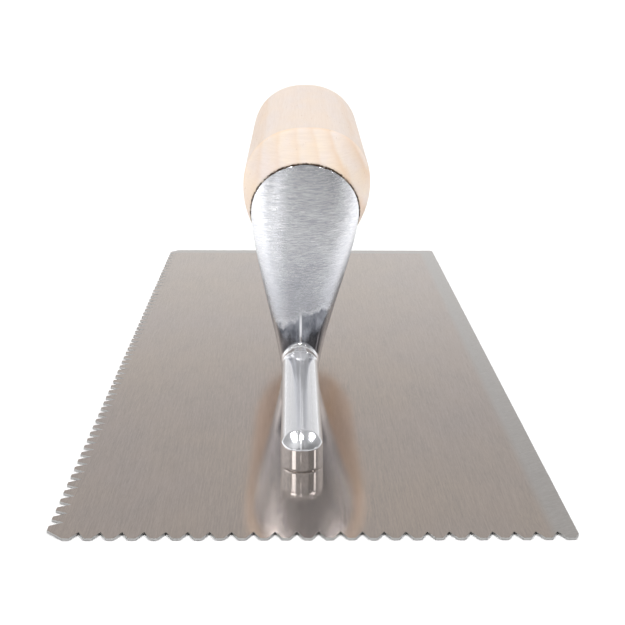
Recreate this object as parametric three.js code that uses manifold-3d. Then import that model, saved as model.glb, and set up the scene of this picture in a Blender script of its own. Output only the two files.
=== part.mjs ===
// Notched trowel: a thin steel blade with V notches along two edges, riveted to a one-piece aluminium
// casting (bar, gooseneck and bell) that carries a bored wooden handle on a steel rod.
// Millimetres. +Z is up, the origin is the centre of the blade's underside, and the handle's tail
// points along +Y. The notched short edge faces -Y and the notched long edge faces -X.

import * as THREE from 'three';
import { mergeVertices } from 'three/addons/utils/BufferGeometryUtils.js';
import Module from 'manifold-3d';

const manifoldLibrary = await Module();
manifoldLibrary.setup();

// ---- Driving dimensions ----

const INCH = 25.4;
const CLEARANCE = 0.3; // between pieces that are cut by, or rest on, a turned neighbour
const SEAT = 0.05; // between flat pieces that lie on each other
const CUT_MARGIN = 1; // how far a cutting tool runs past the face that it opens

const blade = {
  thickness: 0.6,
  pitch: (3 / 16) * INCH,
  notchWidth: (1 / 8) * INCH,
  notchDepth: 3,
  tipRounding: 0.35,
  longNotches: 58,
  shortNotches: 23,
  longStart: 7.9, // from the toothed short edge to the first notch point of the long edge
  longEnd: 7.4, // from the last notch point of the long edge to the plain short edge
  shortStart: 7.1, // from the toothed long edge to the first notch point of the short edge
  shortEnd: 4.5, // from the last notch point of the short edge to the plain long edge
  cornerCut: 4, // corner where the two toothed edges meet
  farCornerCut: 2.8,
  plainCornerCut: 1,
};
blade.width = blade.shortStart + (blade.shortNotches - 1) * blade.pitch + blade.shortEnd;
blade.length = blade.longStart + (blade.longNotches - 1) * blade.pitch + blade.longEnd;

const bar = {
  x: -2.1,
  frontY: -107.7,
  backY: 107.7,
  halfWidth: 5.25,
  height: 9.4,
  wallHeight: 5.2, // up to where the rounded top begins
  noseHeight: 5.5, // upright front face, below the sloping facet of the nose
  noseRun: 5.4, // how far back the sloping facet reaches
};

const bell = {
  faceCentre: new THREE.Vector3(-0.6, -21.3, 49),
  radius: 16.45,
  lean: THREE.MathUtils.degToRad(21), // the face looks up and back by this angle
};

// The gooseneck's foot on the bar, and the two points that draw each of its curves towards them.
const neck = {
  footFrontY: -39.1,
  footBackY: -23.9,
  middleX: -1.1,
  frontPulls: [{ y: -38.5, z: 22.6 }, { y: -34.4, z: 46.6 }],
  backPulls: [{ y: -23.9, z: 15.6 }, { y: -21.4, z: 27.6 }],
  widthPulls: [8, 14.9],
  footRoundness: 2.9,
  faceRoundness: 2,
};

const handle = {
  origin: new THREE.Vector3(0.1, -15.4, 55.2), // on the axis, below the crest of the front bevel
  slope: THREE.MathUtils.degToRad(2.5),
  yaw: THREE.MathUtils.degToRad(0.3),
  halfWidth: 19.8,
  crown: 18.7, // from the axis up to the slightly flattened top
  belly: 20.2, // from the axis down to the underside
  roundness: 2.2, // exponent of the oval section: 2 is an ellipse, more is squarer
  length: 127.8, // from the crest of the bevel to the tail
  domeLength: 33.4,
  domeRoundness: 2.5,
  domeCoverage: THREE.MathUtils.degToRad(78), // the dome's tip is open here, inside the recess
  blankFrontY: -22, // where the blank starts, ahead of the bell's face
  frontRadius: 16.75, // of the bevel where it meets the bell
  bevelAngle: THREE.MathUtils.degToRad(16.7),
};

const rod = {
  radius: (5 / 32) * INCH,
  grip: 8.5, // screwed into the bell
  end: 129.5,
};

const tailRecess = { radius: 9.2, floor: 118 };
const washer = { radius: 8.2, thickness: 1.6 };
const nut = { acrossFlats: INCH / 2, height: 6.75 };

const rivet = {
  count: 6,
  spacing: 36,
  headRadius: 3.3,
  shankRadius: 2.2,
  top: 7.5, // of the blind hole's plug, above the blade's underside
};

// ---- Materials ----

const finish = (color, roughness, metalness) =>
  new THREE.MeshStandardMaterial({ color, roughness, metalness });

const bladeSteel = finish(0xa59e98, 0.32, 0.95);
const castAluminium = finish(0xb9bbc2, 0.28, 0.95);
const paleWood = finish(0xf0dcc6, 0.62, 0);
const rivetSteel = finish(0x9c9994, 0.35, 0.9);
const platedSteel = finish(0xb4b2ac, 0.3, 0.95);

// ---- Solids and booleans ----

function solidFrom(geometry) {
  const bare = geometry.clone();
  bare.deleteAttribute('normal');
  bare.deleteAttribute('uv');
  const merged = mergeVertices(bare, 1e-4);
  return new manifoldLibrary.Manifold(
    new manifoldLibrary.Mesh({
      numProp: 3,
      vertProperties: Float32Array.from(merged.attributes.position.array),
      triVerts: Uint32Array.from(merged.index.array),
    }),
  );
}

function geometryFrom(solid) {
  const mesh = solid.getMesh();
  const geometry = new THREE.BufferGeometry();
  geometry.setAttribute('position', new THREE.BufferAttribute(mesh.vertProperties, 3));
  geometry.setIndex(new THREE.BufferAttribute(mesh.triVerts, 1));
  geometry.computeVertexNormals();
  return geometry;
}

function cut(geometry, tools) {
  let solid = solidFrom(geometry);
  for (const tool of tools) {
    solid = solid.subtract(solidFrom(tool));
  }
  return geometryFrom(solid);
}

function common(first, ...others) {
  let solid = solidFrom(first);
  for (const other of others) {
    solid = solid.intersect(solidFrom(other));
  }
  return geometryFrom(solid);
}

// A closed cylinder whose every point is moved by place(x, z, along): x and z run over the unit
// circle (both zero at the middle of an end) and along goes from 0 to 1.
function shapedTube(around, steps, place) {
  const geometry = new THREE.CylinderGeometry(1, 1, 1, around, steps);
  const points = geometry.attributes.position;
  for (let i = 0; i < points.count; i += 1) {
    const point = place(points.getX(i), points.getZ(i), points.getY(i) + 0.5);
    points.setXYZ(i, point.x, point.y, point.z);
  }
  return geometry;
}

// Turns a unit-circle coordinate into that of an oval with the given roundness.
function oval(value, roundness) {
  return Math.sign(value) * Math.abs(value) ** (2 / roundness);
}

// A round tool or piece along +Y.
function roundBar(radius, fromY, toY, segments = 36) {
  const geometry = new THREE.CylinderGeometry(radius, radius, toY - fromY, segments);
  return geometry.translate(0, (fromY + toY) / 2, 0);
}

// ---- Blade ----

// The outline runs anticlockwise from the toothed corner, first along the short edge.
function bladeOutline() {
  const left = -blade.width / 2;
  const right = blade.width / 2;
  const front = -blade.length / 2;
  const back = blade.length / 2;
  const half = blade.notchWidth / 2;
  const round = blade.tipRounding;
  const shape = new THREE.Shape();

  shape.moveTo(left + blade.cornerCut, front);
  for (let i = 0; i < blade.shortNotches; i += 1) {
    const x = left + blade.shortStart + i * blade.pitch;
    shape.lineTo(x - half - round, front);
    shape.lineTo(x - half + round / 2, front + round);
    shape.lineTo(x, front + blade.notchDepth);
    shape.lineTo(x + half - round / 2, front + round);
    shape.lineTo(x + half + round, front);
  }
  shape.lineTo(right - blade.plainCornerCut, front);
  shape.lineTo(right, front + blade.plainCornerCut * 2);
  shape.lineTo(right, back - blade.plainCornerCut);
  shape.lineTo(right - blade.plainCornerCut, back);
  shape.lineTo(left + blade.farCornerCut, back);
  shape.lineTo(left, back - blade.farCornerCut * 1.5);
  for (let i = blade.longNotches - 1; i >= 0; i -= 1) {
    const y = front + blade.longStart + i * blade.pitch;
    shape.lineTo(left, y + half + round);
    shape.lineTo(left + round, y + half - round / 2);
    shape.lineTo(left + blade.notchDepth, y);
    shape.lineTo(left + round, y - half + round / 2);
    shape.lineTo(left, y - half - round);
  }
  shape.lineTo(left, front + blade.cornerCut);
  shape.closePath();
  return shape;
}

const rivetPlaces = Array.from(
  { length: rivet.count },
  (_, i) => new THREE.Vector3(bar.x, (i - (rivet.count - 1) / 2) * rivet.spacing, 0),
);

// From the rim of the countersunk head up the shank to the middle of its end.
function rivetProfile(clearance) {
  return [
    new THREE.Vector2(rivet.headRadius + clearance, SEAT),
    new THREE.Vector2(rivet.shankRadius + clearance, blade.thickness + SEAT),
    new THREE.Vector2(rivet.shankRadius + clearance, rivet.top + clearance),
    new THREE.Vector2(0, rivet.top + clearance),
  ];
}

function rivetGeometry() {
  const profile = [new THREE.Vector2(0, SEAT), ...rivetProfile(0)];
  return new THREE.LatheGeometry(profile, 24).rotateX(Math.PI / 2);
}

// The countersunk holes in the blade and the blind holes in the bar, as cutting tools.
function rivetHoles() {
  const clearance = CLEARANCE / 2;
  const profile = [
    new THREE.Vector2(0, -CUT_MARGIN),
    new THREE.Vector2(rivet.headRadius + clearance, -CUT_MARGIN),
    ...rivetProfile(clearance),
  ];
  return rivetPlaces.map((place) =>
    new THREE.LatheGeometry(profile, 24).rotateX(Math.PI / 2).translate(place.x, place.y, 0),
  );
}

function bladeGeometry() {
  const sheet = new THREE.ExtrudeGeometry(bladeOutline(), {
    depth: blade.thickness,
    bevelEnabled: false,
  });
  return cut(sheet, rivetHoles());
}

// ---- Mounting: bar, gooseneck and bell in one casting ----

const barBottom = blade.thickness + SEAT;

// The bar is what three straight extrusions have in common: its rounded cross-section, its plan
// with semicircular ends, and its side view with a sloping facet at each end.
function barGeometry() {
  const half = bar.halfWidth;
  const margin = CUT_MARGIN;
  const length = bar.backY - bar.frontY;

  const section = new THREE.Shape();
  section.moveTo(-half, 0);
  section.lineTo(half, 0);
  section.lineTo(half, bar.wallHeight);
  section.absellipse(0, bar.wallHeight, half, bar.height - bar.wallHeight, 0, Math.PI, false);
  section.closePath();
  const run = new THREE.ExtrudeGeometry(section, {
    depth: length + 2 * margin,
    bevelEnabled: false,
    curveSegments: 16,
  });
  run.rotateX(Math.PI / 2).translate(0, bar.backY + margin, 0);

  const plan = new THREE.Shape();
  plan.absarc(0, bar.frontY + half, half, Math.PI, 2 * Math.PI, false);
  plan.absarc(0, bar.backY - half, half, 0, Math.PI, false);
  plan.closePath();
  const post = new THREE.ExtrudeGeometry(plan, {
    depth: bar.height + 2 * margin,
    bevelEnabled: false,
    curveSegments: 16,
  });
  post.translate(0, 0, -margin);

  const side = new THREE.Shape();
  side.moveTo(bar.frontY, -margin);
  side.lineTo(bar.backY, -margin);
  side.lineTo(bar.backY, bar.noseHeight);
  side.lineTo(bar.backY - bar.noseRun, bar.height);
  side.lineTo(bar.frontY + bar.noseRun, bar.height);
  side.lineTo(bar.frontY, bar.noseHeight);
  side.closePath();
  const profile = new THREE.ExtrudeGeometry(side, { depth: 4 * half, bevelEnabled: false });
  profile.translate(0, 0, -2 * half);
  profile.applyMatrix4(
    new THREE.Matrix4().makeBasis(
      new THREE.Vector3(0, 1, 0),
      new THREE.Vector3(0, 0, 1),
      new THREE.Vector3(1, 0, 0),
    ),
  );
  return common(run, post, profile).translate(bar.x, 0, barBottom);
}

// The gooseneck is lofted between a front rail and a back rail, which end at the top and the bottom
// of the bell's round face. A third curve gives its half width on the way up.
const faceUp = new THREE.Vector3(0, -Math.sin(bell.lean), Math.cos(bell.lean));
const faceTop = bell.faceCentre.clone().addScaledVector(faceUp, bell.radius);
const faceBottom = bell.faceCentre.clone().addScaledVector(faceUp, -bell.radius);

function neckRail(footY, pulls, end) {
  return new THREE.CubicBezierCurve3(
    new THREE.Vector3(bar.x, footY, barBottom),
    new THREE.Vector3(bar.x, pulls[0].y, pulls[0].z),
    new THREE.Vector3(neck.middleX, pulls[1].y, pulls[1].z),
    end,
  );
}

const frontRail = neckRail(neck.footFrontY, neck.frontPulls, faceTop);
const backRail = neckRail(neck.footBackY, neck.backPulls, faceBottom);
const neckHalfWidth = new THREE.CubicBezierCurve(
  new THREE.Vector2(0, bar.halfWidth),
  new THREE.Vector2(1 / 3, neck.widthPulls[0]),
  new THREE.Vector2(2 / 3, neck.widthPulls[1]),
  new THREE.Vector2(1, bell.radius),
);

function neckGeometry() {
  return shapedTube(48, 22, (x, z, along) => {
    const front = frontRail.getPoint(along);
    const back = backRail.getPoint(along);
    const roundness = THREE.MathUtils.lerp(neck.footRoundness, neck.faceRoundness, along);
    const toFront = front.clone().sub(back).multiplyScalar(0.5);
    const middle = front.add(back).multiplyScalar(0.5);
    middle.addScaledVector(toFront, oval(z, roundness));
    middle.x += neckHalfWidth.getPoint(along).y * oval(x, roundness);
    return middle;
  });
}

function mountingGeometry(rodMatrix) {
  const casting = geometryFrom(solidFrom(barGeometry()).add(solidFrom(neckGeometry())));
  const rodHole = roundBar(rod.radius + CLEARANCE, -rod.grip - CLEARANCE, bell.radius);
  return cut(casting, [rodHole.applyMatrix4(rodMatrix), ...rivetHoles()]);
}

// ---- Handle ----

// In the handle's own frame, where its axis is +Y and the crest of the bevel is at the origin.
function handleBlank() {
  const straightShare = 0.25; // of the blank's rings
  const domeStart = handle.length - handle.domeLength;
  return shapedTube(56, 16, (x, z, along) => {
    let y = THREE.MathUtils.lerp(handle.blankFrontY, domeStart, along / straightShare);
    let scale = 1;
    if (along > straightShare) {
      const turn = Math.sin((handle.domeCoverage * (along - straightShare)) / (1 - straightShare));
      y = domeStart + handle.domeLength * turn;
      scale = (1 - turn ** handle.domeRoundness) ** (1 / handle.domeRoundness);
    }
    const height = z > 0 ? handle.crown : handle.belly;
    return new THREE.Vector3(
      scale * handle.halfWidth * oval(x, handle.roundness),
      y,
      scale * height * oval(z, handle.roundness),
    );
  });
}

// The cone that the front end is turned to. It stands on the bell's face.
function bevelCone() {
  const reach = handle.length + handle.domeLength;
  const profile = [
    new THREE.Vector2(0, CLEARANCE),
    new THREE.Vector2(handle.frontRadius, CLEARANCE),
    new THREE.Vector2(handle.frontRadius + reach * Math.tan(handle.bevelAngle), reach),
    new THREE.Vector2(0, reach),
  ];
  return new THREE.LatheGeometry(profile, 64);
}

function handleGeometry(coneMatrix, rodMatrix) {
  const shaped = common(handleBlank(), bevelCone().applyMatrix4(coneMatrix));
  const bore = roundBar(rod.radius + CLEARANCE, -bell.radius, tailRecess.floor + CUT_MARGIN);
  const recess = roundBar(tailRecess.radius, tailRecess.floor, handle.length + bell.radius);
  return cut(shaped, [bore.applyMatrix4(rodMatrix), recess.applyMatrix4(rodMatrix)]);
}

// ---- Rod, washer and nut, along +Y from the middle of the bell's face ----

function washerGeometry() {
  const inner = rod.radius + CLEARANCE;
  const bottom = tailRecess.floor + CLEARANCE;
  const top = bottom + washer.thickness;
  const profile = [
    new THREE.Vector2(inner, bottom),
    new THREE.Vector2(washer.radius, bottom),
    new THREE.Vector2(washer.radius, top),
    new THREE.Vector2(inner, top),
    new THREE.Vector2(inner, bottom),
  ];
  return new THREE.LatheGeometry(profile, 40);
}

function nutGeometry() {
  const cornerRadius = nut.acrossFlats / Math.sqrt(3);
  const bottom = tailRecess.floor + washer.thickness + 2 * CLEARANCE;
  const hexagon = new THREE.Shape();
  for (let i = 0; i < 6; i += 1) {
    const angle = (i * Math.PI) / 3;
    const x = cornerRadius * Math.cos(angle);
    const y = cornerRadius * Math.sin(angle);
    if (i === 0) {
      hexagon.moveTo(x, y);
    } else {
      hexagon.lineTo(x, y);
    }
  }
  hexagon.closePath();
  const hole = new THREE.Path();
  hole.absarc(0, 0, rod.radius + CLEARANCE, 0, 2 * Math.PI, true);
  hexagon.holes.push(hole);
  const prism = new THREE.ExtrudeGeometry(hexagon, {
    depth: nut.height,
    bevelEnabled: false,
    curveSegments: 18,
  });
  return prism.rotateX(-Math.PI / 2).translate(0, bottom, 0);
}

// ---- Assembly ----

const trowel = new THREE.Group();
const gripFrame = new THREE.Group();
gripFrame.position.copy(handle.origin);
gripFrame.rotation.set(handle.slope, 0, -handle.yaw);
trowel.add(gripFrame);
trowel.updateMatrixWorld(true);

// The rod runs from the middle of the bell's face to the middle of the tail.
const rodStart = gripFrame.worldToLocal(bell.faceCentre.clone());
const tailCentre = new THREE.Vector3(0, handle.length, (handle.crown - handle.belly) / 2);
const rodFrame = new THREE.Group();
rodFrame.position.copy(rodStart);
rodFrame.quaternion.setFromUnitVectors(
  new THREE.Vector3(0, 1, 0),
  tailCentre.clone().sub(rodStart).normalize(),
);
gripFrame.add(rodFrame);
trowel.updateMatrixWorld(true);

const coneMatrix = new THREE.Matrix4()
  .makeRotationX(bell.lean)
  .setPosition(bell.faceCentre)
  .premultiply(gripFrame.matrixWorld.clone().invert());

function addPiece(parent, name, geometry, material) {
  const mesh = new THREE.Mesh(geometry, material.clone());
  mesh.name = name;
  parent.add(mesh);
  return mesh;
}

addPiece(trowel, 'blade', bladeGeometry(), bladeSteel);
addPiece(trowel, 'mounting', mountingGeometry(rodFrame.matrixWorld), castAluminium);
rivetPlaces.forEach((place, i) => {
  addPiece(trowel, `rivet_${i + 1}`, rivetGeometry(), rivetSteel).position.copy(place);
});
addPiece(gripFrame, 'handle', handleGeometry(coneMatrix, rodFrame.matrix), paleWood);
addPiece(rodFrame, 'tang_rod', roundBar(rod.radius, -rod.grip, rod.end), platedSteel);
addPiece(rodFrame, 'washer', washerGeometry(), platedSteel);
addPiece(rodFrame, 'nut', nutGeometry(), platedSteel);

export default trowel;
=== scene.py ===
"""Notched trowel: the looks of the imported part, built around its frame.

Shapes are worked out in millimetres and turned into metres when a mesh is made. The casting, the
handle and the nut are solids described by a field, a function that is negative inside and about
the distance to the surface elsewhere, and are meshed by solid(). The blade is an outline made
thick, the washer and rivets are turned from profiles, and the rod is built ring by ring.
"""

import bmesh
import bpy
import numpy as np
from mathutils import Matrix, Vector


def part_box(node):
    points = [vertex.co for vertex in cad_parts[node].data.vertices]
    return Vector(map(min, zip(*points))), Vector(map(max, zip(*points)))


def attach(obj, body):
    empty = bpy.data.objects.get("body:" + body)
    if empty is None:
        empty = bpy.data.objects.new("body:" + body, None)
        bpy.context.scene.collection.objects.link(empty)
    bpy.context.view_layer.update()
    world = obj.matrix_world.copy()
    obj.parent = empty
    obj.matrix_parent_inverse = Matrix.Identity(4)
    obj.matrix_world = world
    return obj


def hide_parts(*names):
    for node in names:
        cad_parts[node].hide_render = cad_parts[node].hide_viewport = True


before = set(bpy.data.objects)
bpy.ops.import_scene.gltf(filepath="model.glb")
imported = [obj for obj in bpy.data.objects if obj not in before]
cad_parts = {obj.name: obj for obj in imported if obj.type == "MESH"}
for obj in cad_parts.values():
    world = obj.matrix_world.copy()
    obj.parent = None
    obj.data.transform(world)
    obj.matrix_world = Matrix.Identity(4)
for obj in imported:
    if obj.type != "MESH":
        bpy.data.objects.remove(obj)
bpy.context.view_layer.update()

MM = 0.001
INCH = 25.4


def box_mm(node):
    """A CAD node's lowest and highest corners, in millimetres."""
    low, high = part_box(node)
    return low / MM, high / MM


blade_low, blade_high = box_mm("blade")
bar_low, bar_high = box_mm("mounting")

# ---- Driving dimensions, in millimetres and radians, as the CAD has them ----

CLEARANCE = 0.3

THICKNESS = blade_high.z - blade_low.z
PITCH = 3 / 16 * INCH
NOTCH_HALF = INCH / 16
NOTCH_DEPTH = 3.0
LONG_START = 7.9
SHORT_START = 7.1
CORNER_CUT = 4.0
FAR_CORNER_CUT = 2.8
PLAIN_CORNER_CUT = 1.0
LONG_NOTCHES = 58
SHORT_NOTCHES = 23

BAR_X = -2.1
BAR_HALF_LENGTH = bar_high.y
BAR_HALF = 5.25
BAR_BOTTOM = bar_low.z
BAR_HEIGHT = 9.4
BAR_WALL = 5.2
NOSE_HEIGHT = 5.5
NOSE_RUN = 5.4

BELL_FACE = np.array([-0.6, -21.3, 49.0])
BELL_RADIUS = 16.45
BELL_LEAN = np.radians(21)

# Each of the gooseneck's curves has two pulls, points that draw it towards them. Those of the
# front and the back are given as y and z.
FOOT_FRONT = -39.1
FOOT_BACK = -23.9
FRONT_PULLS = ((-38.5, 22.6), (-34.4, 46.6))
BACK_PULLS = ((-23.9, 15.6), (-21.4, 27.6))
WIDTH_PULLS = (8, 14.9)
NECK_MIDDLE_X = -1.1
FOOT_ROUNDNESS = 2.9
ROUNDNESS_LOSS = 0.9

GRIP_ORIGIN = Vector((0.1, -15.4, 55.2))
GRIP_SLOPE = np.radians(2.5)
GRIP_YAW = np.radians(0.3)
GRIP_HALF = 19.8
GRIP_CROWN = 18.7
GRIP_BELLY = 20.2
GRIP_ROUNDNESS = 2.2
GRIP_LENGTH = 127.8
DOME_LENGTH = 33.4
DOME_ROUNDNESS = 2.5
BEVEL_RADIUS = 16.75
BEVEL_ANGLE = np.radians(16.7)

ROD_RADIUS = 5 / 32 * INCH
ROD_GRIP = 8.5
ROD_END = 129.5
RECESS_RADIUS = 9.2
RECESS_FLOOR = 118.0
WASHER_RADIUS = 8.2
WASHER_THICKNESS = 1.6
NUT_FLATS = INCH / 2
NUT_HEIGHT = 6.75

RIVETS = 6
RIVET_SPACING = 36.0
RIVET_HEAD = 3.3
RIVET_SHANK = 2.2
RIVET_TOP = 7.5
RIVET_BOTTOM = 0.05

# ---- Details that the CAD lacks or has otherwise, in millimetres and radians ----

TIP_ROUNDING = 0.22
NOTCH_POINT_HALF = 0.06
NOTCH_POINT_DEPTH = 0.1
BLADE_EDGE = 0.05

FOOT = blade_high.z + 0.03
FACET_BOW_ACROSS = 15
FACET_BOW_UP = 11
FACET_OUT = 0.55
FACET_EDGE = 0.2
BELL_RIM = 0.4

JOIN_FILLET = 0.4
COLLAR_HEIGHT = 2.6
COLLAR_STANDOFF = 0.5
COLLAR_RIM = 0.8
COLLAR_ARCH = 15.0
COLLAR_BACK = -31.0
COLLAR_FADE = 4
# At x from the bar's middle, the collar's rim is at RIM_TOP - RIM_BEND * x**2.
RIM_TOP = BAR_BOTTOM + BAR_HEIGHT + COLLAR_HEIGHT
RIM_BEND = 1 / COLLAR_ARCH + (BAR_HEIGHT - BAR_WALL) / (2 * BAR_HALF**2)

PARTING_HEIGHT = 0.09
PARTING_UNEVENNESS = 0.02
PARTING_SWAY = 0.06
PARTING_WIDTH = 0.28
PARTING_TOP = 52
PARTING_FADE = 20

BEVEL_EDGE = 1.1
GRIP_FRONT_EDGE = 0.5
GRIP_HOLE_EDGE = 0.9

ROD_THREAD = INCH / 18
THREAD_DEPTH = 0.7
FRONT_THREAD_END = 14.0
TAIL_THREAD = 20
NUT_CORNER = NUT_FLATS / 2 * 1.02
NUT_CHAMFER_SLOPE = 0.58
NUT_EDGE = 0.15

SHARP_ANGLE = np.radians(35)

# ---- Frames of the turned pieces ----

bell_axis = np.array([0.0, np.cos(BELL_LEAN), np.sin(BELL_LEAN)])
bell_up = np.array([0.0, -np.sin(BELL_LEAN), np.cos(BELL_LEAN)])

grip_turn = Matrix.Rotation(GRIP_SLOPE, 4, "X") @ Matrix.Rotation(-GRIP_YAW, 4, "Z")
grip_matrix = Matrix.Translation(GRIP_ORIGIN) @ grip_turn
rod_start = grip_matrix.inverted() @ Vector(BELL_FACE)
tail_centre = Vector((0, GRIP_LENGTH, (GRIP_CROWN - GRIP_BELLY) / 2))
rod_turn = Vector((0, 1, 0)).rotation_difference(tail_centre - rod_start).to_matrix().to_4x4()
rod_in_grip = Matrix.Translation(rod_start) @ rod_turn
rod_matrix = grip_matrix @ rod_in_grip


def into(matrix, x, y, z):
    """Coordinates seen in the frame that matrix places."""
    m = np.array(matrix.inverted())
    return tuple(m[i, 0] * x + m[i, 1] * y + m[i, 2] * z + m[i, 3] for i in range(3))


# ---- Fields ----


def blend_max(a, b, width):
    """The greater of two fields, with the edge where they meet rounded over about width."""
    near = np.clip(1 - np.abs(a - b) / width, 0, 1)
    return np.maximum(a, b) + near * near * width / 4


def fillet(a, b, radius):
    """Two solids joined, with a hollow fillet of that radius where they meet."""
    hollow = np.hypot(np.maximum(radius - a, 0), np.maximum(radius - b, 0))
    return np.maximum(radius, np.minimum(a, b)) - hollow


def oval(u, v, half_u, half_v, roundness):
    """About the distance from an oval with those half sizes; a roundness of 2 is an ellipse."""
    reach = (np.abs(u / half_u) ** roundness + np.abs(v / half_v) ** roundness) ** (1 / roundness)
    return np.hypot(u, v) * (1 - 1 / np.maximum(reach, 1e-6))


def bezier(t, a, b, c, d):
    """The cubic curve from a to d, drawn towards b and c, at share t."""
    s = 1 - t
    return s**3 * a + 3 * s * s * t * b + 3 * s * t * t * c + t**3 * d


def wobble(x, seed):
    """A smooth curve that looks uneven, between about -1 and 1."""
    return (np.sin(x * 1.7 + seed) + np.sin(x * 0.61 + 2 * seed) + np.sin(x * 3.3 + 3 * seed)) / 3


def bar_field(x, y, z):
    """The low bar: a rounded section with semicircular ends and a sloping facet on each."""
    across = x - BAR_X
    height = z - BAR_BOTTOM
    walls = np.abs(across) - BAR_HALF
    crown = oval(across, np.maximum(height - BAR_WALL, 0), BAR_HALF, BAR_HEIGHT - BAR_WALL, 2)
    section = np.where(height > BAR_WALL, crown, walls)
    past_end = np.maximum(np.abs(y) - (BAR_HALF_LENGTH - BAR_HALF), 0)
    plan = np.hypot(across, past_end) - BAR_HALF
    rise = BAR_HEIGHT - NOSE_HEIGHT
    slope = (np.abs(y) - BAR_HALF_LENGTH) * rise + (height - NOSE_HEIGHT) * NOSE_RUN
    up_slope = (height - NOSE_HEIGHT) - (BAR_HEIGHT - NOSE_HEIGHT) / 2
    bow = across**2 / FACET_BOW_ACROSS
    facet = slope / np.hypot(rise, NOSE_RUN) + bow + up_slope**2 / FACET_BOW_UP - FACET_OUT
    body = blend_max(np.maximum(section, plan), facet, FACET_EDGE)
    return np.maximum(body, FOOT - z)


def neck_rails(t):
    """Front y, z and back y, z of the gooseneck, its middle x and half width, at share t."""
    top = BELL_FACE + BELL_RADIUS * bell_up
    bottom = BELL_FACE - BELL_RADIUS * bell_up
    (front_y1, front_z1), (front_y2, front_z2) = FRONT_PULLS
    (back_y1, back_z1), (back_y2, back_z2) = BACK_PULLS
    front_y = bezier(t, FOOT_FRONT, front_y1, front_y2, top[1])
    front_z = bezier(t, BAR_BOTTOM, front_z1, front_z2, top[2])
    back_y = bezier(t, FOOT_BACK, back_y1, back_y2, bottom[1])
    back_z = bezier(t, BAR_BOTTOM, back_z1, back_z2, bottom[2])
    middle_x = bezier(t, BAR_X, BAR_X, NECK_MIDDLE_X, BELL_FACE[0])
    half_width = bezier(t, BAR_HALF, *WIDTH_PULLS, BELL_RADIUS)
    return front_y, front_z, back_y, back_z, middle_x, half_width


def neck_share(y, z, halvings=22):
    """How far up the gooseneck, from 0 to 1, the slice through y, z is, found by halving."""
    low = np.zeros(np.broadcast(y, z).shape)
    high = np.ones_like(low)
    for _ in range(halvings):
        t = (low + high) / 2
        front_y, front_z, back_y, back_z, _, _ = neck_rails(t)
        above = (z - back_z) * (back_y - front_y) - (y - back_y) * (back_z - front_z) > 0
        low = np.where(above, t, low)
        high = np.where(above, high, t)
    return (low + high) / 2


def neck_field(x, y, z):
    """The gooseneck and the bell that it flares into, cut off at the bell's round face."""
    t = neck_share(y, z)
    front_y, front_z, back_y, back_z, middle_x, half_width = neck_rails(t)
    depth_y = (front_y - back_y) / 2
    depth_z = (front_z - back_z) / 2
    half_depth = np.hypot(depth_y, depth_z)
    across = x - middle_x
    along = (y - (front_y + back_y) / 2) * depth_y + (z - (front_z + back_z) / 2) * depth_z
    roundness = FOOT_ROUNDNESS - ROUNDNESS_LOSS * t
    section = oval(across, along / half_depth, half_width, half_depth, roundness)
    face = (y - BELL_FACE[1]) * bell_axis[1] + (z - BELL_FACE[2]) * bell_axis[2]
    return np.maximum(blend_max(section, face, BELL_RIM), FOOT - z)


def parting_line(x, y, z):
    """How far the casting's parting line stands up, along the middle of the bar and neck."""
    t = neck_share(y, np.maximum(z, BAR_BOTTOM))
    on_neck = np.clip((z - BAR_BOTTOM - BAR_HEIGHT) / 4, 0, 1)
    middle = BAR_X + (neck_rails(t)[4] - BAR_X) * on_neck
    run = y + z
    height = PARTING_HEIGHT + PARTING_UNEVENNESS * wobble(run * 0.5, 1.0)
    sway = PARTING_SWAY * wobble(run * 0.2, 2.0)
    line = np.exp(-(((x - middle - sway) / PARTING_WIDTH) ** 2))
    fade = np.clip((PARTING_TOP - z) / PARTING_FADE, 0, 1)
    return height * line * fade


def rod_hole_field(x, y, z, start, end, radius):
    """A round hole about the rod's axis, in the frame that x, y and z are given in."""
    return np.maximum(np.hypot(x, z) - radius, np.maximum(start - y, y - end))


def collar_join(bar, neck, x, y):
    """The bar and neck joined, with a low arched collar ahead of the neck that has a rounded rim."""
    ahead = np.clip((COLLAR_BACK - y) / COLLAR_FADE, 0, 1)
    height = (COLLAR_HEIGHT - (x - BAR_X) ** 2 / COLLAR_ARCH) * ahead
    joined = fillet(bar, neck, JOIN_FILLET)
    collar = blend_max(neck - COLLAR_STANDOFF * ahead, bar - height, COLLAR_RIM)
    return fillet(joined, collar, JOIN_FILLET / 2)


def mounting_field(x, y, z):
    """The whole casting, with its blind holes for the rod and the rivets."""
    metal = collar_join(bar_field(x, y, z), neck_field(x, y, z), x, y)
    metal = metal - parting_line(x, y, z)
    metal = np.maximum(metal, FOOT - z)
    seen_from_rod = into(rod_matrix, x, y, z)
    hole_end = -ROD_GRIP - CLEARANCE
    rod_hole = rod_hole_field(*seen_from_rod, hole_end, BELL_RADIUS, ROD_RADIUS + CLEARANCE)
    nearest = np.clip(np.round(y / RIVET_SPACING + 0.5), 1 - RIVETS / 2, RIVETS / 2)
    from_rivet = np.hypot(x - BAR_X, y - (nearest - 0.5) * RIVET_SPACING)
    room = CLEARANCE / 2
    rivet_hole = np.maximum(from_rivet - RIVET_SHANK - room, z - RIVET_TOP - room)
    return np.maximum(metal, -np.minimum(rod_hole, rivet_hole))


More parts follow.
